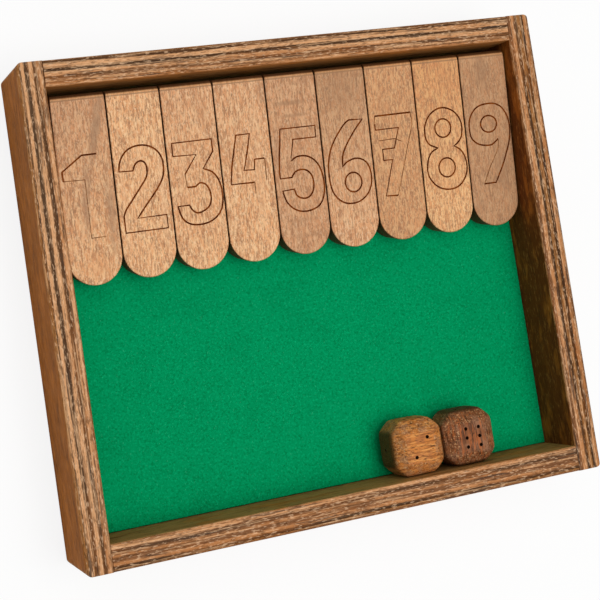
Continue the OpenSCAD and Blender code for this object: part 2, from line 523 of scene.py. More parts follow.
@dataclass(frozen=True)
class StainedTileWood(Finish):
    """Beech slat, planed, stained warm tan and rubbed with oil.

    The eye sees fine upright grain with short dark pores and pale flecks, a painted highlight on the
    rounded square end and on the arris, and sawn sides that are dark from real stain and painted shade.
    X runs across the tile, Y towards its square end and Z out of its face, from the rod's axis.

    Attributes:
        upper: How the stain darkens the square end.
        lower: How the stain darkens the round end.
        marks: Soft marks in the wood.
        tail: Distance from the rod's axis to the square end, in millimetres.
        half: Half the tile's thickness, in millimetres.
        seam: Distance from the square end to the line where its rounding starts, in millimetres.
        fade: Length over which the stain changes from the upper to the lower wash, in millimetres.
        faintness: How much weaker all the marks show than their own strength.
    """

    upper: Wash = Wash.BARE
    lower: Wash = Wash.BARE
    marks: tuple[Mark, ...] = ()
    tail: float = 6.0
    half: float = 5.0
    seam: float = 1.85
    fade: float = 50.0
    faintness: float = 0.7

    def make(self) -> bpy.types.Material:
        """Builds the material."""
        material, tree, own = self.start()
        axes = add_node(tree, "SeparateXYZ", {0: own})
        along = axes.outputs[1]
        out = add_node(tree, "Math", {0: axes.outputs[2]}, operation="ABSOLUTE")
        colour = self.lay(tree, own, "#e4a873", (
            # Growth bands 3 to 4 mm wide run the whole length.
            Layer("#ab6c38", (3.0, 60.0, 9.0), 0.50, 0.70, 0.40),
            Layer("#f7c692", (3.6, 50.0, 9.0), 0.52, 0.70, 0.40)))
        colour = self.lay(tree, own, colour, (
            # Drifts of darker and paler wood, 1.5 to 2 mm wide and a centimetre long.
            Layer("#874714", (1.8, 9.0, 5.0), 0.49, 0.60, 0.62, 4.0, 0.75),
            Layer("#ffdfb2", (1.5, 9.0, 5.0), 0.50, 0.61, 0.60, 4.0, 0.75),
            # Bundles of fibres 0.6 mm wide and 3 to 4 mm long, dark and pale.
            Layer("#7f3f12", (0.6, 3.8, 3.0), 0.49, 0.59, 0.72, 3.0, 0.7),
            Layer("#ffe6ba", (0.6, 3.6, 3.0), 0.49, 0.59, 0.75, 3.0, 0.7),
            # Pores that hold dark stain, half a millimetre wide and 1 to 2 mm long, and pale flecks.
            Layer("#5c2a0a", (0.5, 1.6, 1.2), 0.54, 0.65, 0.70),
            Layer("#fff0d2", (0.5, 1.0, 1.0), 0.55, 0.66, 0.62)), 7.0)
        for number, mark in enumerate(self.marks):
            spot = add_node(tree, "Mapping", {
                "Vector": own, "Location": (mark.across, self.tail - mark.down, 0.0),
                "Rotation": (0.0, 0.0, math.radians(mark.lean)),
                "Scale": (mark.width, mark.length, 60.0)}, vector_type="TEXTURE")
            reach = add_node(tree, "VectorMath", {0: spot}, operation="LENGTH")
            torn = self.streaks(tree, own, (1.2, 4.0, 9.0), 31.0 + number, 3.0)
            # A mark shows fully in its innermost fifth and fades with torn edges towards its rim.
            ragged = add_node(tree, "Math", {0: torn, 1: 1.1, 2: reach}, operation="MULTIPLY_ADD")
            share = add_node(tree, "MapRange", {
                "Value": ragged, "From Min": 1.55, "From Max": 0.75,
                "To Max": self.faintness * mark.strength}, interpolation_type="SMOOTHSTEP")
            colour = add_node(tree, "Mix", {"Factor": share, "A": colour, "B": mark.tone}, data_type="RGBA")
        # The stain darkens the whole slat, more or less towards each end.
        lower = add_node(tree, "MapRange", {"Value": along, "From Min": 0.0, "From Max": -self.fade})
        stain = add_node(tree, "Mix", {"Factor": lower, "A": self.upper.value, "B": self.lower.value},
                         data_type="RGBA")
        colour = add_node(tree, "Mix", {"Factor": 1.0, "A": colour, "B": stain}, data_type="RGBA",
                          blend_type="MULTIPLY")

        # The rounded square end gets a painted golden highlight, with a line of painted shade where the
        # rounding starts.
        colour = self.band(tree, colour, along, self.tail - 1.9, self.tail - 1.2, "#cf9050", 0.55)
        apart = self.apart(tree, along, self.tail - self.seam)
        colour = self.band(tree, colour, apart, 0.36, 0.12, "#633818", 0.85)
        # The arris gets a painted highlight; below it the sawn side is nearly black brown, from real stain
        # and painted shade.
        apart = self.apart(tree, out, self.half - 0.1)
        colour = self.band(tree, colour, apart, 0.24, 0.1, "#eabb8b", 0.3)
        colour = self.band(tree, colour, out, self.half - 0.12, self.half - 0.45, "#3f220c", 0.92)

        # Open pores and raised grain, six hundredths of a millimetre deep.
        relief = self.streaks(tree, own, (0.5, 2.5, 1.5), 40.0, 3.0, 0.65)
        return self.close(material, colour, (0.72, 0.56), relief, 0.06, Specular_IOR_Level=0.2)


@dataclass(frozen=True)
class BurntLine(Finish):
    """Wood burnt by a laser along a narrow line.

    The eye sees a dark brown line of uneven strength, nearly black where the beam dwelt.
    """

    deep: str = "#5a2502"
    thin: str = "#8a450e"

    def make(self) -> bpy.types.Material:
        """Builds the material."""
        material, tree, own = self.start()
        colour = self.lay(tree, own, self.deep, (
            # The burn changes strength every 3 to 5 mm, with soot specks of a third of a millimetre.
            Layer(self.thin, (4.0, 4.0, 4.0), 0.42, 0.60, 1.0),
            Layer("#2a1104", (0.35, 0.35, 0.35), 0.5, 0.7, 0.6)))
        soot = self.streaks(tree, own, (0.35, 0.35, 0.35), 5.0)
        return self.close(material, colour, 0.9, soot, 0.04, Specular_IOR_Level=0.1)


@dataclass(frozen=True)
class WoolFelt(Finish):
    """Green wool felt, pressed and glued flat.

    The eye sees one deep green, matt all over, with a fine mottle of matted fibres and a few
    paler ends standing up.
    """

    green: str = "#029058"

    def make(self) -> bpy.types.Material:
        """Builds the material."""
        material, tree, own = self.start()
        colour = self.lay(tree, own, self.green, (
            # Slow clouds of a few centimetres where the nap lies another way.
            Layer("#027f4c", (18.0, 18.0, 18.0), 0.48, 0.66, 0.30),
            # Tufts of matted fibres, a millimetre or less, darker and paler.
            Layer("#01703c", (0.9, 0.9, 0.9), 0.50, 0.63, 0.56, 3.0, 0.7),
            Layer("#0aad70", (0.8, 0.8, 0.8), 0.50, 0.63, 0.50, 3.0, 0.7),
            # Fibre ends that stand up and catch the light.
            Layer("#45c391", (0.4, 0.8, 0.4), 0.64, 0.76, 0.45)))
        nap = self.streaks(tree, own, (0.7, 0.7, 0.7), 15.0, 4.0, 0.7)
        return self.close(material, colour, 1.0, nap, 0.15, Specular_IOR_Level=0.0)


@dataclass(frozen=True)
class DrawnSteel(Finish):
    """Mild steel rod, drawn bright.

    The eye sees a grey metal with hairline drawing marks along the rod and dull patches.
    """

    def make(self) -> bpy.types.Material:
        """Builds the material."""
        material, tree, own = self.start()
        colour = self.lay(tree, own, "#b4b5b6", (
            # Dull patches of a few millimetres where hands and oil dimmed the metal.
            Layer("#7d7873", (5.0, 2.0, 2.0), 0.45, 0.70, 0.50, 3.0),))
        # Drawing marks a tenth of a millimetre wide run the length of the rod.
        marks = self.streaks(tree, own, (18.0, 0.12, 0.12), 3.0, 3.0)
        return self.close(material, colour, (0.26, 0.42), marks, 0.01, Metallic=1.0)


class DieCut(Enum):
    """Which way a die was cut from its stick: the axis that its grain runs along."""

    GRAIN_X = 0
    GRAIN_Y = 1


@dataclass(frozen=True)
class TumbledDieWood(Finish):
    """Beech cube, chamfered, tumbled and steeped in brown stain.

    The eye sees close straight grain lines on the long-grain faces, end-grain faces that are nearly
    black from open cells and painted shade, and a scuffed paler coat with pits on the chamfers and
    corners. The patterns start from the die's middle.

    Attributes:
        wood: Tone of the wood.
        deep: Tone of the late-wood lines.
        warm: Tone of the bright lines.
        patches: Tone of the uneven patches.
        scuffed: Tone of the scuffed chamfers.
        end: Tone of the end grain, darkened further as painted shade.
        cut: Which way the grain runs.
        half: Half the die's size in millimetres.
        chamfer: What the chamfers take off each face, in millimetres.
    """

    wood: str = "#c67a38"
    deep: str = "#8f5526"
    warm: str = "#e09a52"
    patches: str = "#a8673a"
    scuffed: str = "#a57a58"
    end: str = "#4c3512"
    cut: DieCut = DieCut.GRAIN_X
    half: float = 10.0
    chamfer: float = 4.4

    def grain(self, long: float, wide: float) -> Triple:
        """Size of a streak that runs along the grain."""
        return (long, wide, 3 * wide) if self.cut is DieCut.GRAIN_X else (wide, long, 3 * wide)

    def make(self) -> bpy.types.Material:
        """Builds the material."""
        material, tree, own = self.start()
        colour = self.lay(tree, own, self.wood, (
            # Patches of 3 to 4 mm where the stain took unevenly.
            Layer(self.patches, (3.5, 3.5, 3.5), 0.47, 0.62, 0.70, 3.0),
            # Late-wood lines 0.8 mm apart and brighter lines between them.
            Layer(self.deep, self.grain(9.0, 0.8), 0.49, 0.61, 0.82, 3.0),
            Layer(self.warm, self.grain(7.0, 0.7), 0.51, 0.62, 0.80, 3.0),
            # Open pores half a millimetre wide along the grain.
            Layer("#3d2410", self.grain(2.0, 0.5), 0.56, 0.66, 0.75)))
        # On a chamfer the two largest distances from the middle add up to a fixed sum.
        size = add_node(tree, "VectorMath", {0: own}, operation="ABSOLUTE")
        axes = add_node(tree, "SeparateXYZ", {0: size})
        total = add_node(tree, "VectorMath", {0: size, 1: (1.0, 1.0, 1.0)},
                         operation="DOT_PRODUCT").outputs["Value"]
        least = add_node(tree, "Math", {0: axes.outputs[0], 1: axes.outputs[1]}, operation="MINIMUM")
        least = add_node(tree, "Math", {0: least, 1: axes.outputs[2]}, operation="MINIMUM")
        pair = add_node(tree, "Math", {0: total, 1: least}, operation="SUBTRACT")
        edge = 2 * self.half - self.chamfer
        worn = add_node(tree, "MapRange", {"Value": pair, "From Min": edge - 1.1, "From Max": edge - 0.4})
        colour = self.lay(tree, own, colour, (
            # The coat on the chamfers is scuffed greyer in patches of 4 to 5 mm.
            Layer(self.scuffed, (4.0, 4.0, 4.0), 0.48, 0.62, 0.60, 4.0, 0.7),
            # Nicks and pits of half a millimetre, dark and pale.
            Layer("#2c190c", (0.9, 0.7, 0.7), 0.53, 0.64, 0.66, 3.0, 0.7),
            Layer("#e0b07c", (0.7, 0.7, 0.7), 0.55, 0.66, 0.58, 3.0)), 20.0, worn)
        # The end-grain faces are dark from real end grain and painted shade, with black cells of a third of
        # a millimetre.
        end_grain_and_shade = self.lay(tree, own, self.end, (
            Layer("#120c05", (0.45, 0.45, 0.45), 0.48, 0.60, 0.85),
            Layer("#7a5a30", (0.5, 0.5, 0.5), 0.60, 0.70, 0.60)), 40.0)
        colour = self.band(tree, colour, axes.outputs[self.cut.value], self.half - 1.5, self.half - 0.5,
                           end_grain_and_shade, 0.92)
        relief = self.streaks(tree, own, (0.6, 0.6, 0.6), 50.0, 3.0, 0.7)
        return self.close(material, colour, (0.48, 0.68), relief, 0.14, Specular_IOR_Level=0.16)


@dataclass(frozen=True)
class PaleFloor(Finish):
    """Matt white card that the box lies on; the eye sees plain white with a faint soft shadow.

    Attributes:
        glow: How much of the card is seen as pure white, as on an overexposed backdrop.
    """

    glow: float = 0.85

    def make(self) -> bpy.types.Material:
        """Builds the material."""
        material, tree, own = self.start()
        # The card's tooth, 2 mm wide and a hundredth of a millimetre deep.
        tooth = self.streaks(tree, own, (2.0, 2.0, 2.0))
        bump = add_node(tree, "Bump", {"Height": tooth, "Distance": mm(0.01), "Strength": 1.0})
        card = add_node(tree, "BsdfPrincipled", {
            "Base Color": "#f9f9f8", "Roughness": 0.95, "Specular IOR Level": 0.0, "Normal": bump})
        white = add_node(tree, "Emission", {"Color": "#ffffff", "Strength": 1.0})
        rays = add_node(tree, "LightPath")
        seen = add_node(tree, "Math", {0: rays.outputs["Is Camera Ray"], 1: self.glow}, operation="MULTIPLY")
        surface = add_node(tree, "MixShader", {0: seen, 1: card, 2: white})
        add_node(tree, "OutputMaterial", {"Surface": surface})
        return material


# Tray


@dataclass(frozen=True)
class Board:
    """One frame board: its node, the middle of its outer face, its turn, its ply colours and its inner-face
    tone, which holds painted light and shade of that wall.
    """

    node: str
    outer: Triple
    turn: float
    plies: tuple[PlyStop, ...]
    inside: str
    seed: float


@dataclass
class Tray:
    """The glued plywood tray: four boards on edge round a base board.

    The boards keep their CAD shapes; this class dresses them.
    """

    width: float = 190.0
    depth: float = 168.0
    left_plies: tuple[PlyStop, ...] = (
        (0.00, PlyTone.VENEER), (0.07, PlyTone.VENEER), (0.12, PlyTone.SMOKE), (0.16, PlyTone.PALE),
        (0.25, PlyTone.PALE), (0.29, PlyTone.SMOKE), (0.40, PlyTone.SMOKE), (0.45, PlyTone.PALE),
        (0.56, PlyTone.PALE), (0.61, PlyTone.UMBER), (0.71, PlyTone.SMOKE), (0.76, PlyTone.STRAW),
        (0.88, PlyTone.PALE), (0.94, PlyTone.BROWN), (1.00, PlyTone.VENEER))
    top_plies: tuple[PlyStop, ...] = (
        (0.00, PlyTone.VENEER), (0.06, PlyTone.UMBER), (0.15, PlyTone.SOOT), (0.20, PlyTone.PALE),
        (0.32, PlyTone.PALE), (0.36, PlyTone.SOOT), (0.46, PlyTone.SMOKE), (0.50, PlyTone.PALE),
        (0.62, PlyTone.STRAW), (0.66, PlyTone.UMBER), (0.77, PlyTone.BROWN), (0.81, PlyTone.PALE),
        (0.86, PlyTone.BROWN), (0.92, PlyTone.TAN), (1.00, PlyTone.STRAW))
    right_plies: tuple[PlyStop, ...] = (
        (0.00, PlyTone.UMBER), (0.07, PlyTone.UMBER), (0.12, PlyTone.TAN), (0.23, PlyTone.TAN),
        (0.27, PlyTone.SOOT), (0.36, PlyTone.SOOT), (0.41, PlyTone.VENEER), (0.51, PlyTone.VENEER),
        (0.55, PlyTone.SOOT), (0.62, PlyTone.SMOKE), (0.68, PlyTone.TAN), (0.80, PlyTone.STRAW),
        (0.85, PlyTone.BROWN), (0.92, PlyTone.BROWN), (1.00, PlyTone.UMBER))
    bottom_plies: tuple[PlyStop, ...] = (
        (0.00, PlyTone.BROWN), (0.05, PlyTone.BROWN), (0.09, PlyTone.VENEER), (0.13, PlyTone.SOOT),
        (0.20, PlyTone.SMOKE), (0.25, PlyTone.TAN), (0.33, PlyTone.STRAW), (0.38, PlyTone.BROWN),
        (0.50, PlyTone.BROWN), (0.56, PlyTone.TAN), (0.65, PlyTone.BROWN), (0.72, PlyTone.SMOKE),
        (0.80, PlyTone.BROWN), (0.84, PlyTone.PALE), (1.00, PlyTone.TAN))

    def boards(self) -> tuple[Board, ...]:
        """The four boards with the finish frame of each."""
        half_x, half_y = self.width / 2, self.depth / 2
        return (
            # Inner-face tones: the right side's is darkened as painted shade, and the bottom rail's greenish
            # tone is a painted reflection of the felt.
            Board("left_side", (-half_x, 0.0, 0.0), 0.0, self.left_plies, "#8a5222", 1.0),
            Board("right_side", (half_x, 0.0, 0.0), 180.0, self.right_plies, "#653610", 23.0),
            Board("top_rail", (0.0, half_y, 0.0), -90.0, self.top_plies, "#a8703a", 47.0),
            Board("bottom_rail", (0.0, -half_y, 0.0), 90.0, self.bottom_plies, "#aa824a", 71.0))

    def dress(self) -> None:
        """Gives each board and the base board its finish."""
        for board in self.boards():
            finish = StainedPlywood("stained_plywood_" + board.node, board.outer, (0.0, 0.0, board.turn),
                                    board.seed, board.plies, inside=board.inside)
            dress_node(board.node, finish.make())
        dress_node("base_board", PlyBoard("plywood_face_base", seed=5.0).make())


def dress_node(node: str, material: bpy.types.Material) -> None:
    """Puts a finish in all the material slots of a CAD node that keeps its shape."""
    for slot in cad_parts[node].material_slots:
        slot.material = material
    log.info("dressed %s with %s", node, material.name)


@dataclass
class FeltLining:
    """The felt sheet that is laid on the base board, inside the frame."""

    width: float = 171.6
    depth: float = 149.6
    bottom: float = 10.0
    thickness: float = 1.95
    cell: float = 1.9
    soft_edge: float = 0.35
    edge_wander: float = 0.05
    nap_wander: float = 0.035
    near: float = 0.001

    def build(self) -> None:
        """Models the sheet from a fine grid: drawn down to its thickness, edges rounded, nap uneven."""
        top = self.bottom + self.thickness
        bpy.ops.mesh.primitive_grid_add(
            x_subdivisions=round(self.width / self.cell), y_subdivisions=round(self.depth / self.cell),
            size=1.0, location=place(0, 0, top), scale=(1, 1, 1))
        only(bpy.context.active_object).scale = place(self.width, self.depth, 1)
        felt = fresh("felt_lining")
        bpy.ops.object.mode_set(mode="EDIT")
        bpy.ops.mesh.select_all(action="SELECT")
        bpy.ops.mesh.extrude_region_move(TRANSFORM_OT_translate={"value": place(0, 0, -self.thickness)})
        bpy.ops.mesh.select_all(action="SELECT")
        bpy.ops.mesh.normals_make_consistent(inside=False)
        half_x, half_y = self.width / 2, self.depth / 2
        pick(felt, Part.EDGES, lambda at, run: abs(at.z - top) < self.near and (
            abs(abs(at.x) - half_x) < self.near or abs(abs(at.y) - half_y) < self.near)
            and abs(run.z) < self.near)
        bpy.ops.mesh.bevel(offset=mm(self.soft_edge), segments=2, affect="EDGES")
        # The cut edge wanders a little and the nap lies unevenly, by a few hundredths of a millimetre.
        pick(felt, Part.VERTS, lambda at, run: self.bottom + self.near < at.z < top - self.near)
        bpy.ops.transform.vertex_random(offset=mm(self.edge_wander), uniform=1.0, normal=0.0, seed=4)
        pick(felt, Part.VERTS, lambda at, run: at.z > top - self.near and abs(at.x) < half_x - 1
             and abs(at.y) < half_y - 1)
        bpy.ops.transform.vertex_random(offset=mm(self.nap_wander), uniform=0.0, normal=1.0, seed=9)
        bpy.ops.object.mode_set(mode="OBJECT")
        settle(felt, 60.0)
        coat(felt, WoolFelt("green_wool_felt", seed=2.0).make())
        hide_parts("felt")
        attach(felt, "tray")
        log.info("built %s, %d faces", felt.name, len(felt.data.polygons))


@dataclass
class HingeRod:
    """The steel rod that the tiles turn on; it keeps its CAD shape."""

    axis: Triple = (0.0, 67.1, 24.0)

    def dress(self) -> None:
        """Gives the rod its finish."""
        dress_node("hinge_rod", DrawnSteel("drawn_steel_rod", self.axis).make())


# Tiles


class Burn(Enum):
    """How deep the laser went: the radius of its groove in millimetres."""

    DEEP = 0.32
    FAINT = 0.2


@dataclass(frozen=True)
class Stroke:
    """One burnt line of a digit's outline.

    Attributes:
        points: Points (across, down) in millimetres, across from the tile's middle line and down
            from its square end.
        bends: Whether the line bends smoothly through its points.
        burn: How deep it is burnt.
    """

    points: tuple[Point, ...]
    bends: bool = False
    burn: Burn = Burn.DEEP

    def path(self) -> list[Point]:
        """The line's points, with the bends filled in at a step of about a millimetre."""
        if not self.bends:
            return list(self.points)
        closed = self.points[0] == self.points[-1]
        line = [Vector(p) for p in self.points]
        before = line[-2] if closed else 2 * line[0] - line[1]
        after = line[1] if closed else 2 * line[-1] - line[-2]
        knots = [before] + line + [after]
        filled: list[Point] = []
        for a, b, c, d in zip(knots, knots[1:], knots[2:], knots[3:]):
            steps = max(2, round((c - b).length / 1.1))
            for step in range(steps):
                t = step / steps
                at = 0.5 * (2 * b + (c - a) * t + (2 * a - 5 * b + 4 * c - d) * t * t
                            + (3 * b - a - 3 * c + d) * t * t * t)
                filled.append((at.x, at.y))
        filled.append(tuple(line[-1]))
        return filled


def ring(across: float, down: float, wide: float, tall: float) -> Stroke:
    """The round outline of a digit's counter, by its middle and its two radii."""
    turns = [math.radians(a) for a in range(0, 361, 30)]
    points = [(round(across + wide * math.cos(a), 3), round(down + tall * math.sin(a), 3)) for a in turns]
    return Stroke(tuple(points), bends=True)


# Outlined digits, 29 mm tall and 12 to 17 mm wide, as the tool path is drawn for each tile. The foot of
# the 4 and the right side of the 1 are faint or missing on the real one.
DIGITS: dict[int, tuple[Stroke, ...]] = {
    1: (Stroke(((-7.8, 28.4), (-7.9, 25.2), (-0.7, 20.3), (4.4, 20.3))),
        Stroke(((-7.8, 28.4), (-0.5, 28.6), (-0.5, 48.4), (4.5, 48.4)), burn=Burn.FAINT)),
    2: (Stroke(((-2.8, 27.6), (-7.6, 27.4))),
        Stroke(((-7.6, 27.4), (-7.3, 25.2), (-6.3, 22.8), (-4.5, 20.7), (-2.3, 19.6), (0.2, 19.2),
                (2.7, 19.5),
                (4.9, 20.5), (6.7, 22.3), (7.8, 24.9), (7.9, 27.7), (7.5, 30.3), (6.4, 32.6), (4.8, 34.8),
                (2.4, 37.6), (-0.1, 40.4), (-2.1, 42.8)), bends=True),
        Stroke(((-2.1, 42.8), (-2.9, 43.8))),
        Stroke(((-2.9, 43.8), (7.2, 43.8), (7.2, 48.4), (-7.6, 48.3), (-7.6, 42.6))),
        Stroke(((-7.6, 42.6), (-6.7, 40.6), (-4.6, 38.0), (-2.2, 35.1), (-0.1, 32.5), (1.5, 30.4),
                (2.1, 28.2),
                (1.9, 26.0), (1.2, 24.9), (0.1, 24.5), (-1.1, 24.9), (-2.1, 25.9),
                (-2.8, 27.6)), bends=True)),
    3: (Stroke(((-7.3, 24.4), (-7.3, 19.9), (6.9, 19.9), (7.0, 24.2), (2.9, 29.8), (3.9, 30.2))),
        Stroke(((3.9, 30.2), (5.9, 31.2), (7.5, 33.2), (8.4, 35.8), (8.8, 38.6), (8.7, 41.4), (7.9, 44.4),
                (6.3, 46.5), (4.2, 47.9), (2.0, 48.6), (-0.3, 48.8), (-2.8, 48.5), (-4.9, 47.5),
                (-6.4, 45.8),
                (-7.1, 43.6), (-7.4, 41.7)), bends=True),
        Stroke(((-7.4, 41.7), (-3.4, 41.7))),
        Stroke(((-3.4, 41.7), (-2.6, 43.4), (-1.4, 44.5), (-0.1, 44.7), (1.9, 44.1), (3.7, 42.8),
                (4.5, 40.9),
                (4.6, 38.7), (4.1, 36.8), (3.1, 35.2), (1.2, 34.5), (-0.4, 35.6)), bends=True),
        Stroke(((-0.4, 35.6), (-3.4, 35.6))),
        Stroke(((-3.4, 35.6), (-3.8, 31.1)), burn=Burn.FAINT),
        Stroke(((-3.8, 31.1), (0.9, 24.7), (-7.3, 24.4)))),
    4: (Stroke(((-6.6, 36.6), (-5.8, 31.0), (-4.5, 25.6), (-3.0, 19.7), (2.0, 19.7), (0.4, 26.0),
                (-1.35, 32.2),
                (2.4, 32.4), (2.8, 28.8), (6.5, 28.8))),
        Stroke(((6.5, 28.8), (6.5, 36.4)), burn=Burn.FAINT),
        Stroke(((-6.6, 36.6), (2.0, 36.8))),
        Stroke(((2.0, 36.8), (2.0, 40.6)), burn=Burn.FAINT)),
    5: (Stroke(((-5.6, 19.4), (7.6, 19.5), (7.4, 23.6), (-1.25, 23.5), (-2.8, 31.1))),
        Stroke(((-2.8, 31.1), (-1.2, 30.0), (0.8, 29.6), (3.2, 29.9), (5.6, 31.3), (7.3, 33.5), (8.3, 36.4),
                (8.7, 39.5), (8.5, 42.9), (7.6, 45.8), (6.1, 47.8), (3.8, 48.9), (1.2, 49.3), (-1.3, 49.0),
                (-3.8, 47.7), (-5.6, 45.7), (-6.6, 43.3), (-7.0, 41.2)), bends=True),
        Stroke(((-7.0, 41.2), (-2.7, 41.0))),
        Stroke(((-2.7, 41.0), (-2.1, 43.1), (-0.7, 44.3), (1.2, 44.7), (3.1, 44.0), (4.5, 41.9),
                (4.8, 39.0),
                (4.2, 36.6), (2.8, 35.0), (0.6, 34.4), (-1.7, 35.0), (-3.1, 36.8)), bends=True),
        Stroke(((-3.1, 36.8), (-7.4, 36.8), (-7.5, 34.3), (-6.9, 28.7), (-6.3, 25.0), (-5.6, 19.4)))),
    6: (Stroke(((1.8, 19.0), (6.9, 19.2))),
        Stroke(((6.9, 19.2), (4.1, 22.2), (1.8, 25.0), (-0.2, 27.8), (-1.7, 30.5), (-2.3, 32.8),
                (-2.5, 35.4)), bends=True),
        Stroke(((-2.5, 35.4), (-1.0, 34.0), (1.4, 33.1), (3.6, 33.0), (5.8, 33.9), (7.3, 35.7), (8.0, 38.1),
                (8.1, 40.9), (7.5, 43.6), (6.0, 46.1), (3.9, 47.8), (1.9, 48.6), (-0.4, 48.8), (-2.8, 48.4),
                (-5.0, 47.0), (-6.7, 44.9), (-7.7, 42.1), (-8.0, 38.8), (-7.9, 35.0), (-7.3, 31.5),
                (-6.1, 28.2), (-4.2, 25.0), (-1.5, 21.6), (0.5, 19.7), (1.8, 19.0)), bends=True),
        ring(1.0, 41.3, 3.2, 3.5)),
    7: (Stroke(((-7.2, 18.8), (7.0, 18.8))),
        Stroke(((-7.2, 18.8), (-7.4, 21.6)), burn=Burn.FAINT),
        Stroke(((7.0, 18.8), (7.2, 23.2)), burn=Burn.FAINT),
        Stroke(((-7.4, 21.6), (-7.4, 23.8), (1.7, 23.8), (-0.7, 31.0), (-5.4, 31.0), (-5.4, 35.0),
                (-1.9, 35.1),
                (-5.85, 47.9), (-1.2, 48.2))),
        Stroke(((-1.2, 48.2), (2.4, 37.5), (4.3, 31.5), (7.2, 23.2)), burn=Burn.FAINT),
        Stroke(((-6.3, 27.8), (-0.3, 27.6), (2.4, 28.9)), burn=Burn.FAINT)),
    8: (Stroke(((-2.4, 33.0), (-3.9, 32.4), (-5.6, 31.5), (-6.8, 29.6), (-7.1, 27.1), (-6.8, 24.6),
                (-5.7, 22.2), (-4.0, 20.3), (-1.8, 19.0), (0.6, 18.5), (3.2, 19.1), (5.7, 20.7),
                (7.3, 23.0), (8.0, 25.4),
                (7.9, 28.0), (7.2, 30.3), (5.8, 31.9), (4.1, 33.0)), bends=True),
        Stroke(((4.1, 33.0), (6.3, 34.4), (7.6, 36.3), (8.3, 38.6), (8.5, 41.2), (7.8, 44.0), (6.2, 46.4),
                (3.8, 48.1), (0.8, 48.6), (-2.0, 48.1), (-4.1, 47.0), (-5.9, 45.2), (-7.1, 43.0),
                (-7.5, 40.7),
                (-7.2, 38.4), (-6.5, 36.2), (-5.0, 34.2), (-2.4, 33.0)), bends=True),
        ring(0.35, 26.0, 3.2, 3.4), ring(0.4, 40.5, 3.3, 3.5)),
    9: (Stroke(((3.5, 32.4), (2.2, 33.3), (0.6, 34.3), (-1.9, 34.3), (-4.4, 33.7), (-6.1, 32.6),
                (-7.5, 30.8),
                (-7.9, 27.9), (-7.7, 25.2), (-6.9, 23.0), (-5.6, 21.2), (-4.0, 19.9), (-1.9, 19.2),
                (0.4, 19.0),
                (2.6, 19.1), (4.6, 19.8), (6.2, 21.0), (7.6, 23.2), (8.4, 25.6), (8.7, 28.0),
                (8.6, 30.4), (8.0, 33.4), (6.8, 36.6), (4.9, 41.0), (3.1, 44.4), (0.8, 48.4)), bends=True),
        Stroke(((0.8, 48.4), (-4.0, 48.4))),
        Stroke(((-4.0, 48.4), (-1.1, 42.6), (1.8, 38.0), (3.3, 35.2), (3.5, 32.4)), burn=Burn.FAINT),
        ring(0.15, 26.5, 3.3, 3.1)),
}

# What makes each slat its own: its tones and the marks in its wood.
SLATS: dict[int, tuple[Wash, Wash, tuple[Mark, ...]]] = {
    1: (Wash.EVEN, Wash.BARE, (
        Mark(5.0, 12.0, 2.6, 18.0, "#7e6354", 1.0, -14.0), Mark(-0.9, 36.0, 2.4, 17.0, "#866a5a", 0.9, -6.0),
        Mark(7.2, 42.0, 2.6, 22.0, "#866652", 0.9), Mark(-3.2, 47.0, 0.9, 7.0, "#f4cfa8", 0.55, -16.0),
        Mark(0.5, 58.0, 7.5, 6.5, "#dd9f68", 0.6))),
    2: (Wash.BARE, Wash.BARE, (
        Mark(-6.8, 40.0, 1.3, 26.0, "#f2cda6", 0.6), Mark(6.6, 34.0, 1.7, 24.0, "#f5d3ae", 0.6),
        Mark(0.0, 30.0, 3.0, 14.0, "#efc69b", 0.45), Mark(-6.5, 16.0, 1.5, 3.4, "#9d7152", 0.45))),
    3: (Wash.THIN, Wash.BARE, (
        Mark(4.4, 10.0, 3.2, 10.0, "#b8835a", 0.4), Mark(-4.5, 34.0, 2.5, 20.0, "#eac096", 0.4),
        Mark(3.3, 22.2, 0.5, 0.7, "#6d4228", 0.8))),
    4: (Wash.THIN, Wash.BARE, (
        Mark(7.4, 5.0, 1.6, 7.0, "#8d6a51", 0.7), Mark(-2.8, 5.9, 0.5, 0.8, "#4a2c18", 0.9),
        Mark(1.0, 57.9, 0.4, 0.9, "#4a2c18", 0.8), Mark(4.0, 36.0, 3.0, 26.0, "#ecc49b", 0.45))),
    5: (Wash.EVEN, Wash.EVEN, (
        Mark(-1.0, 10.8, 8.6, 1.3, "#80583c", 0.95), Mark(0.0, 15.4, 8.5, 1.0, "#8a6044", 0.85),
        Mark(2.0, 4.0, 7.0, 0.8, "#ad8160", 0.5), Mark(6.0, 3.6, 1.7, 3.8, "#9c7558", 0.6),
        Mark(-7.4, 27.0, 1.4, 12.0, "#a17c66", 0.6), Mark(0.0, 52.5, 8.5, 1.5, "#a0734f", 0.5),
        Mark(1.0, 58.0, 7.5, 1.4, "#a0734f", 0.5))),
    6: (Wash.THICK, Wash.THIN, (
        Mark(0.0, 9.0, 8.5, 12.0, "#a57857", 0.5), Mark(-4.9, 7.1, 0.8, 0.9, "#6b452c", 0.85),
        Mark(4.0, 42.0, 4.0, 18.0, "#dcab7e", 0.4))),
    7: (Wash.AMBER, Wash.AMBER, (
        Mark(0.4, 10.3, 2.2, 0.7, "#8a5c3a", 0.5), Mark(8.2, 40.6, 0.5, 1.6, "#7a4c2c", 0.7),
        Mark(-3.0, 14.0, 4.0, 10.0, "#c0895d", 0.4))),
    8: (Wash.GOLD, Wash.HONEY, (
        Mark(3.0, 8.0, 4.5, 12.0, "#cd8f56", 0.5), Mark(-1.6, 58.0, 0.7, 8.0, "#a9754a", 0.6, 8.0),
        Mark(0.0, 42.0, 6.0, 12.0, "#e9b98a", 0.4))),
    9: (Wash.THICK, Wash.THICK, (
        Mark(-0.5, 7.0, 3.6, 10.0, "#8a6550", 0.75), Mark(4.0, 44.0, 4.6, 14.0, "#8e6a54", 0.7),
        Mark(-6.4, 26.0, 1.8, 16.0, "#c99266", 0.5), Mark(-6.0, 56.0, 3.0, 5.0, "#a27c63", 0.5))),
}


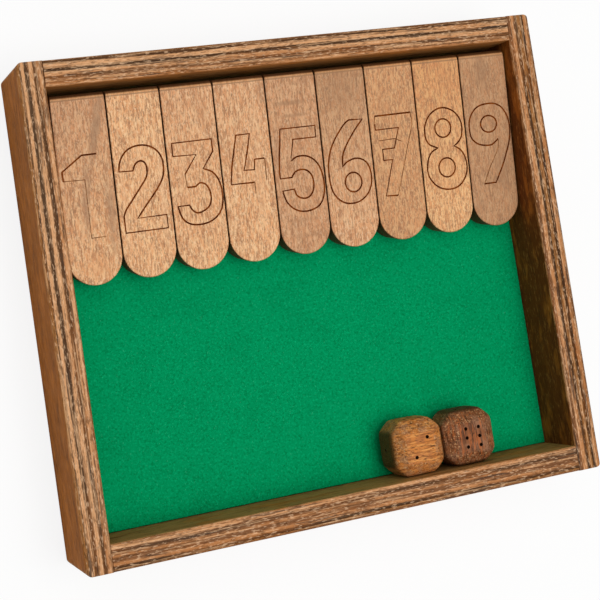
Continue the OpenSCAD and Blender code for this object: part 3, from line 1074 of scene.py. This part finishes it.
@dataclass
class TileRow:
    """The nine hinged tiles, from one modelled blank, each engraved with its outlined digit."""

    width: float = 18.5333
    pitch: float = 18.9333
    first_middle: float = -75.3333
    length: float = 64.7
    thickness: float = 10.0
    tail: float = 6.0
    arris: float = 0.5
    end_round: float = 2.0
    bore: float = 2.08
    rod: Point = (67.1, 24.0)
    rest_angle: float = 6.8942
    digit_drop: float = 0.3
    groove_sink: float = 0.03
    weld: float = 0.002
    wire_weld: float = 0.02
    sharp: float = 55.0
    near: float = 0.01

    def blank(self) -> bpy.types.Object:
        """Models one tile about the rod's axis, lying flat: rounded ends, eased edges and bore.

        Returns:
            The blank, with its round end towards -Y.
        """
        half, tip = self.width / 2, self.tail - self.length
        bpy.ops.mesh.primitive_cube_add(size=1.0, location=place(0, (self.tail + tip) / 2, 0))
        only(bpy.context.active_object).scale = place(self.width, self.length, self.thickness)
        blank = fresh("tile_blank")
        bpy.ops.object.mode_set(mode="EDIT")
        pick(blank, Part.EDGES, lambda at, run: abs(run.z) > 0.9 and at.y < tip + self.near)
        bpy.ops.mesh.bevel(offset=mm(half), segments=20, affect="EDGES")
        pick(blank, Part.EDGES, lambda at, run: abs(run.x) > 0.9 and at.y > self.tail - self.near
             and at.z > 0)
        bpy.ops.mesh.bevel(offset=mm(self.end_round), segments=4, affect="EDGES")
        bpy.ops.mesh.select_all(action="SELECT")
        bpy.ops.mesh.remove_doubles(threshold=mm(self.weld))
        bpy.ops.mesh.select_mode(type="EDGE")
        bpy.ops.mesh.select_all(action="DESELECT")
        bpy.ops.mesh.edges_select_sharp(sharpness=math.radians(self.sharp))
        bpy.ops.mesh.bevel(offset=mm(self.arris), segments=3, affect="EDGES")
        bpy.ops.mesh.select_all(action="SELECT")
        bpy.ops.mesh.remove_doubles(threshold=mm(self.weld))
        bpy.ops.object.mode_set(mode="OBJECT")
        bpy.ops.mesh.primitive_cylinder_add(vertices=48, radius=mm(self.bore), depth=mm(self.width + 4),
                                            rotation=(0, math.radians(90), 0))
        cut(blank, fresh("bore_cutter"))
        log.info("modelled the blank tile, %d faces", len(blank.data.polygons))
        return blank

    def groove_tool(self, number: int, burn: Burn) -> bpy.types.Object | None:
        """Draws the digit's lines of one depth as a round tool that lies in the tile's face.

        A single point is drawn out along each line, and the wire is then given its thickness.

        Args:
            number: The digit.
            burn: Which lines to draw.

        Returns:
            The tool, or None if the digit has no such lines.
        """
        paths: list[list[Point]] = []
        for stroke in DIGITS[number]:
            if stroke.burn is not burn:
                continue
            path = stroke.path()
            if paths and paths[-1][-1] == path[0]:
                paths[-1].extend(path[1:])
            else:
                paths.append(path)
        if not paths:
            return None
        level = mm(self.thickness / 2 - self.groove_sink)
        bpy.ops.mesh.primitive_plane_add(size=mm(1))
        wire = fresh(f"groove_{number}_{burn.name.lower()}")
        bpy.ops.object.mode_set(mode="EDIT")
        bpy.ops.mesh.select_mode(type="VERT")
        bpy.ops.mesh.select_all(action="SELECT")
        bpy.ops.mesh.merge(type="CENTER")
        here = Vector((0.0, 0.0, 0.0))
        for path in paths:
            stops = [Vector((mm(x), mm(self.tail - self.digit_drop - down), level)) for x, down in path]
            # The point moves to the start of the line, leaving its twin behind for the next line.
            bpy.ops.mesh.duplicate_move(TRANSFORM_OT_translate={"value": stops[0] - here})
            for start, end in zip(stops, stops[1:]):
                bpy.ops.mesh.extrude_region_move(TRANSFORM_OT_translate={"value": end - start})
            here = stops[-1]
        bpy.ops.mesh.select_all(action="SELECT")
        bpy.ops.mesh.remove_doubles(threshold=mm(self.wire_weld))
        bpy.ops.mesh.select_all(action="DESELECT")
        bpy.ops.mesh.select_loose()
        bpy.ops.mesh.delete(type="VERT")
        bpy.ops.object.mode_set(mode="OBJECT")
        bpy.ops.object.convert(target="CURVE")
        wire.data.bevel_depth = mm(burn.value)
        wire.data.bevel_resolution = 1
        wire.data.use_fill_caps = True
        bpy.ops.object.convert(target="MESH")
        return wire

    def build(self) -> None:
        """Copies the blank nine times, engraves each copy and lays it at its place on the rod."""
        blank = self.blank()
        burnt = BurntLine("laser_burnt_line", seed=3.0).make()
        faint = BurntLine("faint_burnt_line", deep="#8a5c38", thin="#b98455", seed=8.0).make()
        for number in range(1, 10):
            tile = copy_of(blank, f"numbered_tile_{number}")
            middle = self.first_middle + (number - 1) * self.pitch
            at = (middle, self.rod[0], self.rod[1])
            upper, lower, marks = SLATS[number]
            wood = StainedTileWood(f"stained_tile_wood_{number}", at, (self.rest_angle, 0.0, 0.0),
                                   upper=upper, lower=lower, marks=marks, seed=number * 13.0)
            coat(tile, wood.make())
            for burn, finish in ((Burn.FAINT, faint), (Burn.DEEP, burnt)):
                tool = self.groove_tool(number, burn)
                if tool is not None:
                    coat(tool, finish)
                    cut(tile, tool)
            tile.location = place(*at)
            tile.rotation_euler = Euler((math.radians(self.rest_angle), 0.0, 0.0))
            settle(tile, 35.0)
            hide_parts(f"tile_{number}")
            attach(tile, f"tile_{number}")
            log.info("built %s, %d faces", tile.name, len(tile.data.polygons))
        bpy.data.objects.remove(blank, do_unlink=True)


# Dice


@dataclass(frozen=True)
class DieFaces:
    """The numbers on a die's top, left and front; opposite faces add up to seven."""

    top: int
    left: int
    front: int

    def turned(self) -> tuple[tuple[int, Triple], ...]:
        """Each number with the turn, in degrees, that brings the top to its face."""
        return ((self.top, (0, 0, 0)), (7 - self.top, (180, 0, 0)), (self.left, (0, -90, 0)),
                (7 - self.left, (0, 90, 0)), (self.front, (90, 0, 0)), (7 - self.front, (-90, 0, 0)))


@dataclass
class DicePair:
    """The two tumbled dice, from one modelled body, each drilled with its own pips."""

    size: float = 20.0
    chamfer: float = 4.4
    ball: float = 12.6
    pip: float = 0.65
    pip_depth: float = 1.4
    pip_steps: Point = (2.5, 3.2)
    left_at: Triple = (27.8, -64.85, 22.0)
    right_at: Triple = (47.9, -64.85, 22.0)
    voxel: float = 0.36
    tumbling: int = 60
    dent_width: float = 3.2
    dent_depth: float = 0.14
    point_drop: float = 0.25
    point_inset: float = 0.55

    def body(self) -> bpy.types.Object:
        """Models one die about its middle: a cube, planed along all its edges, then tumbled.

        Returns:
            The undrilled die.
        """
        bpy.ops.mesh.primitive_cube_add(size=mm(self.size))
        die = fresh("die_body")
        # A square bar turned by 45 degrees planes the chamfers along four edges at a time.
        bar = math.sqrt(2) * (self.size - self.chamfer)
        for axis in range(3):
            turn, sides = [0.0, 0.0, 0.0], [bar, bar, bar]
            turn[axis], sides[axis] = math.radians(45), self.size + 6
            bpy.ops.mesh.primitive_cube_add(size=1.0, rotation=turn)
            only(bpy.context.active_object).scale = place(*sides)
            cut(die, fresh("chamfer_bar"), "INTERSECT")
        bpy.ops.mesh.primitive_ico_sphere_add(subdivisions=6, radius=mm(self.ball))
        cut(die, fresh("ball_cutter"), "INTERSECT")
        finish_with(die, "REMESH", mode="VOXEL", voxel_size=mm(self.voxel), use_smooth_shade=True)
        finish_with(die, "SMOOTH", factor=0.5, iterations=self.tumbling)
        # Tumbling left dents a few millimetres wide, less than a tenth of a millimetre deep.
        dents = bpy.data.textures.new("tumbled_dents", "CLOUDS")
        dents.noise_scale, dents.noise_depth = mm(self.dent_width), 2
        finish_with(die, "DISPLACE", texture=dents, texture_coords="LOCAL", mid_level=1.0,
                    strength=mm(self.dent_depth))
        log.info("modelled the die body, %d faces", len(die.data.polygons))
        return die

    def spots(self, value: int) -> list[Point]:
        """Places of the pips of one number on its face, from the middle of the face."""
        corners = [(-1, -1), (1, 1), (-1, 1), (1, -1), (-1, 0), (1, 0)]
        across, along = self.pip_steps
        outer = [(x * across, y * along) for x, y in corners[:value - value % 2]]
        return outer + ([(0.0, 0.0)] if value % 2 else [])

    def pip_tool(self, faces: DieFaces) -> bpy.types.Object:
        """Makes one drill tool with a tapered point for each pip of a die.

        Args:
            faces: The numbers on the die.

        Returns:
            All the drills as one object.
        """
        drills: list[bpy.types.Object] = []
        for value, turn in faces.turned():
            for x, y in self.spots(value):
                bpy.ops.mesh.primitive_cylinder_add(
                    vertices=16, radius=mm(self.pip), depth=mm(2 * self.pip_depth),
                    location=place(x, y, self.size / 2))
                drill = fresh("drill")
                bpy.ops.object.mode_set(mode="EDIT")
                foot = self.size / 2 - self.pip_depth
                pick(drill, Part.FACES, lambda at, out: at.z < foot + 0.01)
                bpy.ops.mesh.inset(thickness=mm(self.pip * self.point_inset))
                bpy.ops.transform.translate(value=place(0, 0, -self.point_drop))
                bpy.ops.object.mode_set(mode="OBJECT")
                drill.rotation_euler = Euler([math.radians(a) for a in turn])
                bpy.ops.object.transform_apply(location=True, rotation=True, scale=True)
                drills.append(drill)
        bpy.ops.object.select_all(action="DESELECT")
        for drill in drills:
            drill.select_set(True)
        bpy.context.view_layer.objects.active = drills[0]
        bpy.ops.object.join()
        return bpy.context.active_object

    def build(self) -> None:
        """Copies the body twice, drills each copy and sets it against the bottom rail."""
        body = self.body()
        soot = BurntLine("dark_pip_hole", deep="#1c1009", thin="#2a180c", seed=4.0).make()
        plan = (
            ("die_left", self.left_at, DieFaces(2, 1, 4), TumbledDieWood(
                "tumbled_die_wood_left", self.left_at, seed=5.0)),
            ("die_right", self.right_at, DieFaces(6, 3, 2), TumbledDieWood(
                "tumbled_die_wood_right", self.right_at, seed=19.0, wood="#84502e", deep="#4f2a13",
                warm="#ad5f2e", patches="#95694c", scuffed="#8a6248", end="#46290f", cut=DieCut.GRAIN_Y)))
        for node, at, faces, finish in plan:
            die = copy_of(body, "tumbled_" + node)
            coat(die, finish.make())
            tool = self.pip_tool(faces)
            coat(tool, soot)
            cut(die, tool)
            die.location = place(*at)
            settle(die, 50.0)
            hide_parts(node)
            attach(die, node)
            log.info("built %s, %d faces", die.name, len(die.data.polygons))
        bpy.data.objects.remove(body, do_unlink=True)


# Studio


@dataclass(frozen=True)
class Lamp:
    """One soft lamp: its place, side and share of the light on a level face at the middle."""

    name: str
    at: Triple
    side: float
    share: float


@dataclass
class Studio:
    """Plain pale floor, soft lamps, white surroundings and the camera."""

    floor_side: float = 6000.0
    surround: float = 0.32
    lamps: tuple[Lamp, ...] = (
        Lamp("key_lamp", (140.0, -140.0, 1000.0), 520.0, 0.52),
        Lamp("top_lamp", (-80.0, 250.0, 1000.0), 700.0, 0.20))
    camera_at: Triple = (-180.41, 2.93, 535.24)
    camera_turn: Triple = (7.2284, -20.1266, -9.3011)
    lens: float = 92.02
    sensor: float = 36.0
    shift: Point = (-0.0612, -0.2379)
    clip: Point = (10.0, 20000.0)
    floor_drop: float = 0.1

    def light(self) -> None:
        """Sets up the lamps and the white surroundings at a plain level.

        A lamp of P watts at d metres puts P / (pi * d)^2 of white on a face that looks at it.
        """
        for lamp in self.lamps:
            data = bpy.data.lights.new(lamp.name, "AREA")
            data.size = mm(lamp.side)
            away = Vector(place(*lamp.at))
            lean = away.normalized().z
            data.energy = lamp.share * (math.pi * away.length) ** 2 / lean
            obj = bpy.data.objects.new(lamp.name, data)
            obj.location = away
            obj.rotation_euler = away.to_track_quat("Z", "Y").to_euler()
            bpy.context.scene.collection.objects.link(obj)
        world = bpy.data.worlds.new("white_surroundings")
        world.use_nodes = True
        tree = world.node_tree
        tree.nodes.clear()
        rays = add_node(tree, "LightPath")
        seen = add_node(tree, "Math", {0: rays.outputs["Is Camera Ray"], 1: rays.outputs["Is Glossy Ray"]},
                        operation="MAXIMUM")
        seen = add_node(tree, "Math", {0: seen, 1: rays.outputs["Is Transmission Ray"]}, operation="MAXIMUM")
        strength = add_node(tree, "MapRange", {"Value": seen, "To Min": self.surround, "To Max": 1.0})
        sky = add_node(tree, "Background", {"Color": "#ffffff", "Strength": strength})
        add_node(tree, "OutputWorld", {"Surface": sky})
        bpy.context.scene.world = world

    def floor(self) -> None:
        """Lays the floor just under the box."""
        bpy.ops.mesh.primitive_plane_add(size=mm(self.floor_side), location=place(0, 0, -self.floor_drop))
        floor = fresh("pale_floor")
        bpy.ops.object.mode_set(mode="EDIT")
        bpy.ops.mesh.select_all(action="SELECT")
        bpy.ops.mesh.subdivide(number_cuts=8)
        bpy.ops.object.mode_set(mode="OBJECT")
        coat(floor, PaleFloor("white_card_floor").make())

    def camera(self) -> None:
        """Places the camera where the box is seen from its left, a little above its middle."""
        data = bpy.data.cameras.new("front_camera")
        data.sensor_width, data.lens = self.sensor, self.lens
        data.shift_x, data.shift_y = self.shift
        data.clip_start, data.clip_end = mm(self.clip[0]), mm(self.clip[1])
        camera = bpy.data.objects.new("front_camera", data)
        camera.location = place(*self.camera_at)
        camera.rotation_euler = Euler([math.radians(a) for a in self.camera_turn])
        bpy.context.scene.collection.objects.link(camera)
        bpy.context.scene.camera = camera

    def build(self) -> None:
        """Sets up the whole studio."""
        bpy.context.scene.view_settings.view_transform = "Standard"
        self.light()
        self.floor()
        self.camera()
        log.info("set up the studio")


def main() -> None:
    """Builds the sub-assemblies in order and dresses them."""
    logging.basicConfig(level=logging.INFO, format="%(name)s: %(message)s")
    Tray().dress()
    FeltLining().build()
    HingeRod().dress()
    TileRow().build()
    DicePair().build()
    Studio().build()


if __name__ == "__main__":
    main()
